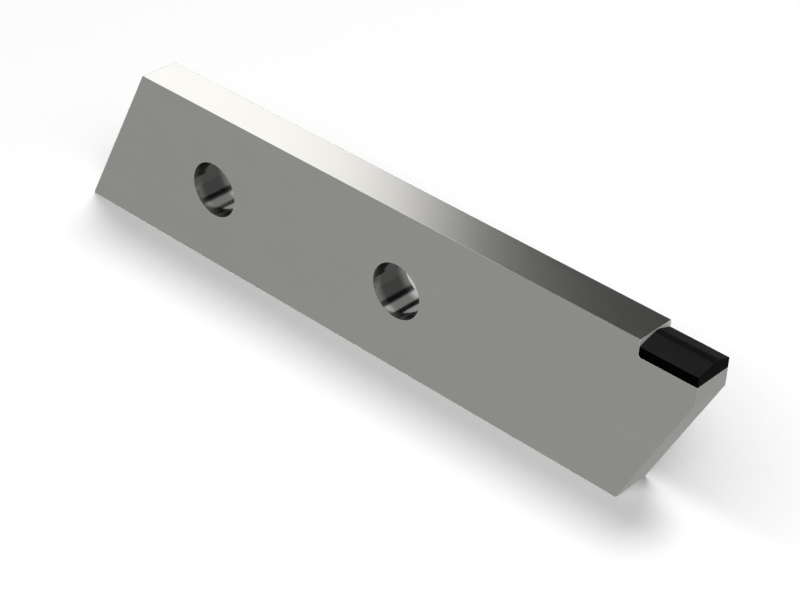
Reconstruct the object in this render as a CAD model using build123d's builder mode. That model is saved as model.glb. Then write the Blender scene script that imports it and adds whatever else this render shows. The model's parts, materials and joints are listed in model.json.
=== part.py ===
from build123d import *
import os
from math import radians, tan

# A bolt-on spreader blade: a length of steel flat bar with both ends cut on the slant, two bolt
# holes, and a roof-shaped carbide tip brazed into a notch at the leading upper corner.
#
# The blade stands on its long lower edge. +X runs along it towards the tip and +Z up across its
# width. Its back, which is bolted to the carrier, faces +Y. The origin is on that back face,
# halfway between the two bolt holes. All sizes are in millimetres and all angles in degrees.

# Flat bar
BAR_WIDTH = 40.0
BAR_THICKNESS = 10.0
LOWER_EDGE_LENGTH = 162.6  # from the heel corner to the toe corner
END_SLANT = 26.0  # how far both ends lean from square, towards the tip as they rise
CORNER_RADIUS = 0.4  # on the corners of the outline
EDGE_BREAK = 0.15  # on the edges of both faces, and on the free edges of the tip

# Bolt holes, on the middle of the width
HOLE_DIAMETER = 13.5  # clearance for an M12 bolt
HOLE_PITCH = 57.0
HEEL_TO_FIRST_HOLE = 43.3  # along the lower edge

# Seat of the tip, a notch in the leading upper corner
SEAT_LENGTH = 14.25
SEAT_DEPTH = 4.0
SEAT_CORNER_RADIUS = 0.5
LAND_HEIGHT = 4.3  # the plumb face below the seat, above the slant down to the toe

# Carbide tip, as long as its seat and as thick as the bar
RIDGE_OFFSET = 0.5  # how far the ridge lies behind the middle of the thickness
RIDGE_RADIUS = 3.5
FRONT_SHOULDER_HEIGHT = 2.4  # above the seat
BACK_SHOULDER_HEIGHT = 2.3
HEEL_CLEARANCE = 0.15  # what the tip's lower corner is rounded by beyond the corner of the seat

# Places that follow from the sizes
top = BAR_WIDTH / 2
bottom = -BAR_WIDTH / 2
back = 0.0
front = -BAR_THICKNESS
lean = tan(radians(END_SLANT))
heel_x = -HOLE_PITCH / 2 - HEEL_TO_FIRST_HOLE
toe_x = heel_x + LOWER_EDGE_LENGTH
seat_z = top - SEAT_DEPTH
land_foot_z = seat_z - LAND_HEIGHT
land_x = toe_x + (land_foot_z - bottom) * lean
wall_x = land_x - SEAT_LENGTH
ridge_y = (front + back) / 2 + RIDGE_OFFSET

# Corners of the blade's outline, as (x, z), anticlockwise from the lower corner of the untipped end
heel = (heel_x, bottom)
toe = (toe_x, bottom)
land_foot = (land_x, land_foot_z)
land_head = (land_x, seat_z)
seat_corner = (wall_x, seat_z)
wall_head = (wall_x, top)
shoulder = (heel_x + BAR_WIDTH * lean, top)

# Drawing planes: the front face as it is seen, and a section across the thickness at the seat's wall
front_plane = Plane((0, front, 0), x_dir=(1, 0, 0), z_dir=(0, -1, 0))
section_plane = Plane((wall_x, 0, 0), x_dir=(0, 1, 0), z_dir=(1, 0, 0))

close_by = 0.001


def edge_at(part, corner):
    """The part's edge across the thickness at an (x, z) corner."""
    place = Vector(corner[0], (front + back) / 2, corner[1])
    return part.edges().filter_by(Axis.Y).sort_by_distance(place)[0]


def above_seat(edge):
    """Whether an edge lies on the tip's side of the seat, clear of the seat itself."""
    return edge.center().Z > seat_z + close_by


def outside_seat(edge):
    """Whether an edge of the bar stays open once the tip is in place."""
    return edge.center().X < wall_x - close_by or edge.center().Z < seat_z - close_by


# Blade body
with BuildPart() as blade_body:
    with BuildSketch(front_plane):
        with BuildLine():
            Polyline(heel, toe, land_foot, land_head, seat_corner, wall_head, shoulder, close=True)
        make_face()
    extrude(amount=-BAR_THICKNESS)
    fillet(edge_at(blade_body, seat_corner), SEAT_CORNER_RADIUS)
    for corner in (heel, toe, land_foot, shoulder):
        fillet(edge_at(blade_body, corner), CORNER_RADIUS)
    face_edges = blade_body.faces().filter_by(Axis.Y).edges()
    fillet(face_edges.filter_by(outside_seat), EDGE_BREAK)

    with Locations(front_plane):
        with GridLocations(HOLE_PITCH, 0, 2, 1):
            Hole(HOLE_DIAMETER / 2)
blade_body.part.label = "blade_body"

# Carbide tip
with BuildPart() as carbide_tip:
    with BuildSketch(section_plane) as roof:
        with BuildLine():
            Polyline((front, seat_z), (front, seat_z + FRONT_SHOULDER_HEIGHT), (ridge_y, top),
                     (back, seat_z + BACK_SHOULDER_HEIGHT), (back, seat_z), close=True)
        make_face()
        fillet(roof.vertices().sort_by(Axis.Y)[-1], RIDGE_RADIUS)
    extrude(amount=SEAT_LENGTH)
    fillet(edge_at(carbide_tip, seat_corner), SEAT_CORNER_RADIUS + HEEL_CLEARANCE)
    leading_end = carbide_tip.faces().sort_by(Axis.X)[-1].edges()
    side_faces = carbide_tip.faces().filter_by(Axis.Y).edges()
    shoulder_edges = side_faces.filter_by(Axis.X)
    fillet((leading_end + shoulder_edges).filter_by(above_seat), EDGE_BREAK)
carbide_tip.part.label = "carbide_tip"

os.makedirs("parts", exist_ok=True)
export_step(blade_body.part, "parts/blade_body.step")
export_step(carbide_tip.part, "parts/carbide_tip.step")
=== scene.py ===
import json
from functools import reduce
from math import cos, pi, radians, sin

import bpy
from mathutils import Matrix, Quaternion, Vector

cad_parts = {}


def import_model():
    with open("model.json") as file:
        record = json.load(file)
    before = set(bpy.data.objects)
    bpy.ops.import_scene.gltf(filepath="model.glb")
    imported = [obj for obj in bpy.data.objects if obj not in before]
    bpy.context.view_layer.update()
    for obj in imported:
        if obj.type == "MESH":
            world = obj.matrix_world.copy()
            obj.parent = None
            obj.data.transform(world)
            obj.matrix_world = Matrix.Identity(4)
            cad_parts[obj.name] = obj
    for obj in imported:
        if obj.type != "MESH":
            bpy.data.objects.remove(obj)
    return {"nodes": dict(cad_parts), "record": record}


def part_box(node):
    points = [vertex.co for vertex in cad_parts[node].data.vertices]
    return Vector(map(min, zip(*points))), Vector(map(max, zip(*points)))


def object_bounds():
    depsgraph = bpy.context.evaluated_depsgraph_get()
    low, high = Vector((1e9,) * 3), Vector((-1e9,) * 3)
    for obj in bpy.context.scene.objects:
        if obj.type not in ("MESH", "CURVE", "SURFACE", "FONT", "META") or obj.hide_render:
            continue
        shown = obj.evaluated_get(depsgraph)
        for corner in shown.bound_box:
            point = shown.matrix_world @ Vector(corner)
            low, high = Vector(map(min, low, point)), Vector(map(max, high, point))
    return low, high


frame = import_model()

# The spreader blade's looks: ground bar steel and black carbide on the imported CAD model, with a
# pale floor, soft studio light and the photograph's camera.
#
# Sizes are in metres, with +X along the blade towards its tip, +Y to its back face and +Z up.
# Azimuths turn about +Z from straight in front of the blade, -Y, towards +X. All angles are in
# degrees.

cad_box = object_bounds()

# Camera
CAMERA_AZIMUTH = 41.467
CAMERA_ELEVATION = 34.456
CAMERA_ROLL = 2.71  # how far the photograph's horizon leans
CAMERA_DISTANCE = 0.4608
CAMERA_AIM = (0.02976, -0.010, -0.0016)  # on the front face, in the middle of the picture
LENS = 96.76  # mm, on a sensor of this width
SENSOR_WIDTH = 36.0  # mm
NEAREST_SEEN = 0.01

# Floor, at the height of the lower edge, and the world's light
FLOOR_SIZE = 8.0
FLOOR_COLOUR = (0.92, 0.92, 0.92)
FLOOR_FADE = (0.15, 1.0)  # how far out it begins to turn plain white, and where it has
SHADE_REACH = 0.06  # how near the blade has to be for the painted shade that darkens the floor beyond its shadow
SHADE_POWER = 1.4
SHADE_ONSET = (-0.006, 0.005)  # the Y over which that sets in, so that it lies behind the blade
SHADE_SAMPLES = 16
WORLD_LIGHT = 0.12  # what falls from all round; where the world is seen or mirrored it is 1

# Studio, out from the middle of the blade's upper edge. A lamp's radiance is what a mirror would
# show of it, where 1 is white. The round lamps light the blade and the floor. The softboxes and
# the black flags are there to be mirrored, and stand where each face gets its tone from them.
STUDIO_CENTRE = (0.020, -0.005, 0.020)
LAMP_BEHIND = dict(azimuth=160, elevation=73, distance=2.4)
LAMP_BEHIND_WIDTH = 1.065
LAMP_BEHIND_RADIANCE = 13.3
LAMP_FRONT = dict(azimuth=50, elevation=50, distance=2.4)
LAMP_FRONT_WIDTH = 1.20
LAMP_FRONT_RADIANCE = 10.0
SOFTBOX_LEFT = dict(azimuth=239.5, elevation=32, distance=3.0)
SOFTBOX_LEFT_SIZE = (1.95, 2.375)
SOFTBOX_LEFT_RADIANCE = 3.20
SOFTBOX_BACK = dict(azimuth=184, elevation=53.0, distance=3.0)
SOFTBOX_BACK_SIZE = (1.45, 0.75)
SOFTBOX_BACK_RADIANCE = 2.0
FLAG_BACK = dict(azimuth=207.8, elevation=28, distance=3.0)
FLAG_BACK_SIZE = (1.19, 2.0)
FLAG_RIGHT = dict(azimuth=147.5, elevation=43.5, distance=3.0)
FLAG_RIGHT_SIZE = (0.85, 0.65)
FLAG_COLOUR = (0.003, 0.003, 0.003, 1)

# Steel: its ground faces, its sawn ends, its drilled bores from their rims to their depth, which
# are painted darker inward as shade, and the seat that the tip is brazed into
FACE_COLOUR = (0.266, 0.263, 0.250, 1)
CUT_COLOUR = (0.335, 0.332, 0.319, 1)
BORE_RIM_COLOUR = (0.22, 0.218, 0.21, 1)
# painted shade: the bore walls darken from the rim colour to this one deeper in
BORE_DEEP_SHADE_COLOUR = (0.060, 0.0595, 0.058, 1)
BRAZE_COLOUR = (0.62, 0.61, 0.58, 1)
FACE_ROUGHNESS = 0.22
CUT_ROUGHNESS = 0.42
BORE_RIM_ROUGHNESS = 0.16
BORE_ROUGHNESS = 0.13
BRAZE_ROUGHNESS = 0.55
BARE_METAL = 1.0
BORE_RIM_METAL = 0.75  # the rest is a dull film
BORE_METAL = 0.9
BRAZE_METAL = 0.4
BORE_RIM_DEPTH = 0.0027  # where a bore has its full depth's look, with its painted shade at its darkest
GRAZING_TINT = (0.6, 0.6, 0.6, 1)  # how much the metal mirrors near grazing
CUT_FACING = 0.5  # a face that turns this far along the bar is a sawn end
MASK_MARGIN = 0.00003  # what the masks of the bores and the seat reach beyond their walls

# Carbide, toned by facing: its flanks darkest as painted shade, its leading end and the slopes of
# its roof lighter as painted light, and its ridge darker as a painted reflection
FLANK_PAINTED_SHADE_COLOUR = (0.0004, 0.0004, 0.0004, 1)
END_PAINTED_LIGHT_COLOUR = (0.0045, 0.0045, 0.0046, 1)
SLOPE_PAINTED_LIGHT_COLOUR = (0.0120, 0.0120, 0.0122, 1)
RIDGE_PAINTED_REFLECTION_COLOUR = (0.0053, 0.0053, 0.0054, 1)
CARBIDE_GLOSS = 0.003
END_FACING = (0.5, 0.8)  # how far the end turns along the blade
SLOPE_FACING = (0.5, 0.8)  # how far the slopes turn up
RIDGE_FACING = (0.965, 0.985)  # how far the ridge turns up

# Noise: how many grains go into a metre along X, Y and Z, and the range that most of it fills
GROUND_GRAIN = (40, 3000, 3000)
SAW_MARKS = (2500, 60, 2500)
DRILL_RINGS = (300, 9000, 300)
STEEL_CLOUDS = (60, 90, 90)
FINISH_RANGE = (0.25, 0.75)  # the ground grain, saw marks and drill rings
SPECKLE = (6000, 6000, 6000)
CARBIDE_CLOUDS = (250, 400, 400)
NOISE_RANGE = (0.3, 0.7)  # the clouds and the speckle
GRAIN_DETAIL = 3.0
CLOUD_DETAIL = 2.0
NOISE_ROUGHNESS = 0.6

# What the grain, the clouds and the worn edges do to each finish
STEEL_GRAIN_TONE = (0.98, 1.02)
STEEL_CLOUD_TONE = (-0.01, 0.01)
STEEL_EDGE_TONE = 0.04
STEEL_GRAIN_GLOSS = (-0.01, 0.01)
STEEL_RELIEF = {"Strength": 0.04, "Distance": 0.000002}
SPECKLE_TONE = (0.85, 1.15)
CARBIDE_CLOUD_TONE = (0.92, 1.08)
CARBIDE_EDGE_TONE = 0.35
CARBIDE_ROUGHNESS = (0.40, 0.50)
CARBIDE_RELIEF = {"Strength": 0.3, "Distance": 0.000004}
WORN_EDGE = 0.0004  # how far in from an edge it is rubbed lighter
EDGE_SAMPLES = 6
EDGE_TURN = (0.995, 0.90)  # the cosine between a face and its rounded edge, off the edge and on it

# Sockets of a Mix node that mixes colours
MIX_A, MIX_B, MIX_RESULT = 6, 7, 2


def node(tree, kind, sockets=None, **settings):
    """Adds a node. Each of sockets is a value, or another node's output to link."""
    made = tree.nodes.new(kind)
    for name, value in settings.items():
        setattr(made, name, value)
    for name, value in (sockets or {}).items():
        if isinstance(value, bpy.types.NodeSocket):
            tree.links.new(value, made.inputs[name])
        else:
            made.inputs[name].default_value = value
    return made


def calculate(tree, operation, *terms):
    """The result of one math node."""
    return node(tree, "ShaderNodeMath", dict(enumerate(terms)), operation=operation).outputs[0]


def any_of(tree, *masks):
    """1 where any of the masks is 1."""
    return reduce(lambda one, other: calculate(tree, "MAXIMUM", one, other), masks)


def spread(tree, value, old, new=(0.0, 1.0)):
    """Carries value from the old range over to the new one, clamped and eased at its ends."""
    sockets = {"Value": value, "From Min": old[0], "From Max": old[1],
               "To Min": new[0], "To Max": new[1]}
    made = node(tree, "ShaderNodeMapRange", sockets, interpolation_type="SMOOTHSTEP")
    return made.outputs["Result"]


def mix_numbers(tree, mask, off, on):
    """The number off where the mask is 0 and on where it is 1."""
    return node(tree, "ShaderNodeMix", {"Factor": mask, "A": off, "B": on}).outputs["Result"]


def mix_colours(tree, mask, off, on):
    """The colour off where the mask is 0 and on where it is 1."""
    sockets = {"Factor": mask, MIX_A: off, MIX_B: on}
    return node(tree, "ShaderNodeMix", sockets, data_type="RGBA").outputs[MIX_RESULT]


def scaled(tree, colour, tone):
    """A colour times a tone."""
    sockets = {0: colour, "Scale": tone}
    return node(tree, "ShaderNodeVectorMath", sockets, operation="SCALE").outputs["Vector"]


def length(tree, vector):
    """The length of a vector."""
    return node(tree, "ShaderNodeVectorMath", {0: vector}, operation="LENGTH").outputs["Value"]


def axes(tree, vector):
    """The X, Y and Z of a vector."""
    return node(tree, "ShaderNodeSeparateXYZ", {"Vector": vector}).outputs


def position(tree):
    """The place on the piece, in the shared frame."""
    return node(tree, "ShaderNodeTexCoord").outputs["Object"]


def noise(tree, place, scale, detail):
    """Noise that has scale grains to a metre along X, Y and Z."""
    stretched = node(tree, "ShaderNodeMapping", {"Vector": place, "Scale": scale}).outputs["Vector"]
    sockets = {"Vector": stretched, "Scale": 1.0, "Detail": detail, "Roughness": NOISE_ROUGHNESS}
    return node(tree, "ShaderNodeTexNoise", sockets).outputs["Fac"]


def relief(tree, height, bump):
    """The normal of a surface with a fine relief."""
    return node(tree, "ShaderNodeBump", {"Height": height, **bump}).outputs["Normal"]


def edge_tone(tree, lighter):
    """How much lighter the piece is at its edges, and 0 away from them."""
    rounded = node(tree, "ShaderNodeBevel", {"Radius": WORN_EDGE}, samples=EDGE_SAMPLES)
    flat = node(tree, "ShaderNodeNewGeometry").outputs["Normal"]
    sockets = {0: rounded.outputs["Normal"], 1: flat}
    turn = node(tree, "ShaderNodeVectorMath", sockets, operation="DOT_PRODUCT").outputs["Value"]
    return calculate(tree, "MULTIPLY", spread(tree, turn, EDGE_TURN), lighter)


def blank_tree(made):
    """The emptied node tree of a new material or world."""
    made.use_nodes = True
    made.node_tree.nodes.clear()
    return made.node_tree


def show(tree, shader, output="ShaderNodeOutputMaterial"):
    """Makes a shader what its material or world shows."""
    tree.links.new(shader.outputs[0], tree.nodes.new(output).inputs["Surface"])


def bore_mask(tree, place):
    """1 on the walls of the bolt holes, 0 elsewhere."""
    masks = []
    for mount in frame["record"]["mounts"]:
        if mount["kind"] != "bore":
            continue
        x, _, z = mount["pos_m"]
        across = calculate(tree, "SUBTRACT", place["X"], x)
        up = calculate(tree, "SUBTRACT", place["Z"], z)
        from_axis = node(tree, "ShaderNodeCombineXYZ", {"X": across, "Z": up}).outputs["Vector"]
        reach = mount["dims"]["r_mm"] / 1000 + MASK_MARGIN
        masks.append(calculate(tree, "LESS_THAN", length(tree, from_axis), reach))
    return any_of(tree, *masks)


def seat_mask(tree, place):
    """1 on the walls of the notch that the tip is brazed into, 0 elsewhere."""
    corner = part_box("carbide_tip")[0]
    beside = calculate(tree, "GREATER_THAN", place["X"], corner.x - MASK_MARGIN)
    above = calculate(tree, "GREATER_THAN", place["Z"], corner.z - MASK_MARGIN)
    return calculate(tree, "MULTIPLY", beside, above)


def cut_mask(tree):
    """1 on the faces that the bar was sawn at, 0 elsewhere."""
    facing = axes(tree, node(tree, "ShaderNodeNewGeometry").outputs["True Normal"])
    return calculate(tree, "GREATER_THAN", calculate(tree, "ABSOLUTE", facing["X"]), CUT_FACING)


def deep_mask(tree, place):
    """0 at the front and back of the bar, and 1 from the depth of the bores' rims on, where the
    bores are painted darker as shade.
    """
    front, back = cad_box[0].y, cad_box[1].y
    from_front = calculate(tree, "SUBTRACT", place["Y"], front)
    from_back = calculate(tree, "SUBTRACT", back, place["Y"])
    depth = calculate(tree, "MINIMUM", from_front, from_back)
    return spread(tree, depth, (0.0, BORE_RIM_DEPTH))


def bar_steel():
    """Bright flat bar: a fine grain along it, sawn ends, bores painted darker inward as shade, and
    a brazed seat.
    """
    material = bpy.data.materials.new("bar_steel_ground")
    tree = blank_tree(material)
    spot = position(tree)
    place = axes(tree, spot)
    cut, bore = cut_mask(tree), bore_mask(tree, place)
    deep, seat = deep_mask(tree, place), seat_mask(tree, place)

    def by_place(mix, face, sawn, rim, depth, braze):
        """One colour or number for each of the places."""
        outside = mix(tree, cut, face, sawn)
        inside = mix(tree, deep, rim, depth)
        return mix(tree, seat, mix(tree, bore, outside, inside), braze)

    grain = noise(tree, spot, GROUND_GRAIN, GRAIN_DETAIL)
    rings = noise(tree, spot, DRILL_RINGS, GRAIN_DETAIL)
    saw = noise(tree, spot, SAW_MARKS, GRAIN_DETAIL)
    clouds = noise(tree, spot, STEEL_CLOUDS, CLOUD_DETAIL)
    finish = mix_numbers(tree, bore, mix_numbers(tree, cut, grain, saw), rings)
    tone = calculate(tree, "ADD", spread(tree, finish, FINISH_RANGE, STEEL_GRAIN_TONE),
                     spread(tree, clouds, NOISE_RANGE, STEEL_CLOUD_TONE))
    tone = calculate(tree, "ADD", tone, edge_tone(tree, STEEL_EDGE_TONE))

    # the bores go from their rim colour to a painted shade deeper in
    colour = by_place(mix_colours, FACE_COLOUR, CUT_COLOUR, BORE_RIM_COLOUR, BORE_DEEP_SHADE_COLOUR,
                      BRAZE_COLOUR)
    rough = by_place(mix_numbers, FACE_ROUGHNESS, CUT_ROUGHNESS, BORE_RIM_ROUGHNESS, BORE_ROUGHNESS,
                     BRAZE_ROUGHNESS)
    metal = by_place(mix_numbers, BARE_METAL, BARE_METAL, BORE_RIM_METAL, BORE_METAL, BRAZE_METAL)
    uneven = spread(tree, finish, FINISH_RANGE, STEEL_GRAIN_GLOSS)
    show(tree, node(tree, "ShaderNodeBsdfPrincipled", {
        "Base Color": scaled(tree, colour, tone),
        "Metallic": metal,
        "Roughness": calculate(tree, "ADD", rough, uneven),
        "Specular Tint": GRAZING_TINT,
        "Normal": relief(tree, finish, STEEL_RELIEF),
    }))
    return material


def carbide():
    """Black sintered carbide, toned by facing: the end and the up-facing slopes lighter as painted
    light, the flanks darkest as painted shade, and the rounded ridge darker as a painted
    reflection.
    """
    material = bpy.data.materials.new("carbide_sintered")
    tree = blank_tree(material)
    spot = position(tree)
    facing = axes(tree, node(tree, "ShaderNodeNewGeometry").outputs["Normal"])

    speckle = noise(tree, spot, SPECKLE, GRAIN_DETAIL)
    clouds = noise(tree, spot, CARBIDE_CLOUDS, CLOUD_DETAIL)
    tone = calculate(tree, "MULTIPLY", spread(tree, speckle, NOISE_RANGE, SPECKLE_TONE),
                     spread(tree, clouds, NOISE_RANGE, CARBIDE_CLOUD_TONE))
    tone = calculate(tree, "ADD", tone, edge_tone(tree, CARBIDE_EDGE_TONE))

    # painted light and shade by facing: the end, the slopes and the ridge each get their own tone
    colour = mix_colours(tree, spread(tree, facing["X"], END_FACING), FLANK_PAINTED_SHADE_COLOUR, END_PAINTED_LIGHT_COLOUR)
    colour = mix_colours(tree, spread(tree, facing["Z"], SLOPE_FACING), colour, SLOPE_PAINTED_LIGHT_COLOUR)
    colour = mix_colours(tree, spread(tree, facing["Z"], RIDGE_FACING), colour, RIDGE_PAINTED_REFLECTION_COLOUR)
    show(tree, node(tree, "ShaderNodeBsdfPrincipled", {
        "Base Color": scaled(tree, colour, tone),
        "Roughness": spread(tree, speckle, NOISE_RANGE, CARBIDE_ROUGHNESS),
        "Specular IOR Level": CARBIDE_GLOSS,
        "Normal": relief(tree, speckle, CARBIDE_RELIEF),
    }))
    return material


def floor_material():
    """A pale matt floor that keeps the shadow, with painted shade from ambient occlusion behind the
    blade, plain white far away and in what metal mirrors.
    """
    material = bpy.data.materials.new("floor_pale")
    tree = blank_tree(material)
    ray = node(tree, "ShaderNodeLightPath").outputs
    spot = position(tree)
    # painted shade: ambient occlusion darkens the floor's colour behind the blade
    sockets = {"Distance": SHADE_REACH}
    room = node(tree, "ShaderNodeAmbientOcclusion", sockets, samples=SHADE_SAMPLES).outputs["AO"]
    behind = spread(tree, axes(tree, spot)["Y"], SHADE_ONSET)
    painted_shade = mix_numbers(tree, behind, 1.0, calculate(tree, "POWER", room, SHADE_POWER))
    matt = node(tree, "ShaderNodeBsdfDiffuse", {"Color": scaled(tree, FLOOR_COLOUR, painted_shade)})
    white = node(tree, "ShaderNodeEmission", {"Strength": 1.0})
    away = spread(tree, length(tree, spot), FLOOR_FADE)
    seen_far = calculate(tree, "MULTIPLY", ray["Is Camera Ray"], away)
    plain = any_of(tree, ray["Is Glossy Ray"], ray["Is Transmission Ray"], seen_far)
    sockets = {0: plain, 1: matt.outputs["BSDF"], 2: white.outputs["Emission"]}
    show(tree, node(tree, "ShaderNodeMixShader", sockets))
    material.cycles.emission_sampling = "NONE"
    return material


def flag_material():
    """Black studio card."""
    material = bpy.data.materials.new("card_black")
    tree = blank_tree(material)
    show(tree, node(tree, "ShaderNodeBsdfDiffuse", {"Color": FLAG_COLOUR}))
    return material


def world():
    """White where it is seen or mirrored, and a soft even light where it falls."""
    made = bpy.data.worlds.new("studio")
    tree = blank_tree(made)
    ray = node(tree, "ShaderNodeLightPath").outputs
    seen = any_of(tree, ray["Is Camera Ray"], ray["Is Glossy Ray"], ray["Is Transmission Ray"])
    strength = mix_numbers(tree, seen, WORLD_LIGHT, 1.0)
    show(tree, node(tree, "ShaderNodeBackground", {"Strength": strength}), "ShaderNodeOutputWorld")
    made.cycles.sampling_method = "NONE"
    bpy.context.scene.world = made


def added(name, data):
    """A new object of that data in the scene."""
    made = bpy.data.objects.new(name, data)
    bpy.context.collection.objects.link(made)
    return made


def direction(azimuth, elevation):
    """The unit vector from the blade towards an azimuth and elevation."""
    a, e = radians(azimuth), radians(elevation)
    return Vector((sin(a) * cos(e), -cos(a) * cos(e), sin(e)))


def stand(thing, azimuth, elevation, distance):
    """Stands a lamp or flag out in a direction, square to the blade and unseen by the camera."""
    out = direction(azimuth, elevation)
    thing.location = Vector(STUDIO_CENTRE) + out * distance
    thing.rotation_mode = "QUATERNION"
    thing.rotation_quaternion = out.to_track_quat("Z", "Y")
    thing.visible_camera = False


def lamp(name, shape, size, area, radiance, place):
    """A flat lamp of that radiance."""
    data = bpy.data.lights.new(name, "AREA")
    data.shape = shape
    data.size, data.size_y = size
    data.energy = radiance * area * pi
    made = added(name, data)
    stand(made, **place)
    return made


def round_lamp(name, width, radiance, place):
    """A lamp that lights the blade and the floor, and isn't mirrored."""
    lamp(name, "ELLIPSE", (width, width), pi * width**2 / 4, radiance, place).visible_glossy = False


def softbox(name, size, radiance, place):
    """A lamp that is only mirrored."""
    lamp(name, "RECTANGLE", size, size[0] * size[1], radiance, place).visible_diffuse = False


def rectangle(name, size, material):
    """A flat rectangle of the studio, square to Z."""
    x, y = size[0] / 2, size[1] / 2
    mesh = bpy.data.meshes.new(name)
    mesh.from_pydata([(-x, -y, 0), (x, -y, 0), (x, y, 0), (-x, y, 0)], [], [(0, 1, 2, 3)])
    mesh.materials.append(material)
    made = added(name, mesh)
    return made


def camera():
    """The photograph's view."""
    lens = bpy.data.cameras.new("camera")
    lens.sensor_width = SENSOR_WIDTH
    lens.lens = LENS
    lens.clip_start = NEAREST_SEEN
    made = added("camera", lens)
    back = direction(CAMERA_AZIMUTH, CAMERA_ELEVATION)
    roll = Quaternion((0, 0, 1), radians(CAMERA_ROLL))
    made.location = Vector(CAMERA_AIM) + back * CAMERA_DISTANCE
    made.rotation_mode = "QUATERNION"
    made.rotation_quaternion = back.to_track_quat("Z", "Y") @ roll
    bpy.context.scene.camera = made


finishes = {"blade_body": bar_steel(), "carbide_tip": carbide()}
for name, finish in finishes.items():
    for slot in frame["nodes"][name].material_slots:
        slot.material = finish

rectangle("floor", (FLOOR_SIZE, FLOOR_SIZE), floor_material()).location.z = cad_box[0].z
world()
round_lamp("lamp_behind", LAMP_BEHIND_WIDTH, LAMP_BEHIND_RADIANCE, LAMP_BEHIND)
round_lamp("lamp_front", LAMP_FRONT_WIDTH, LAMP_FRONT_RADIANCE, LAMP_FRONT)
softbox("softbox_left", SOFTBOX_LEFT_SIZE, SOFTBOX_LEFT_RADIANCE, SOFTBOX_LEFT)
softbox("softbox_back", SOFTBOX_BACK_SIZE, SOFTBOX_BACK_RADIANCE, SOFTBOX_BACK)
black = flag_material()
stand(rectangle("flag_back", FLAG_BACK_SIZE, black), **FLAG_BACK)
stand(rectangle("flag_right", FLAG_RIGHT_SIZE, black), **FLAG_RIGHT)
camera()
bpy.context.scene.view_settings.view_transform = "Standard"
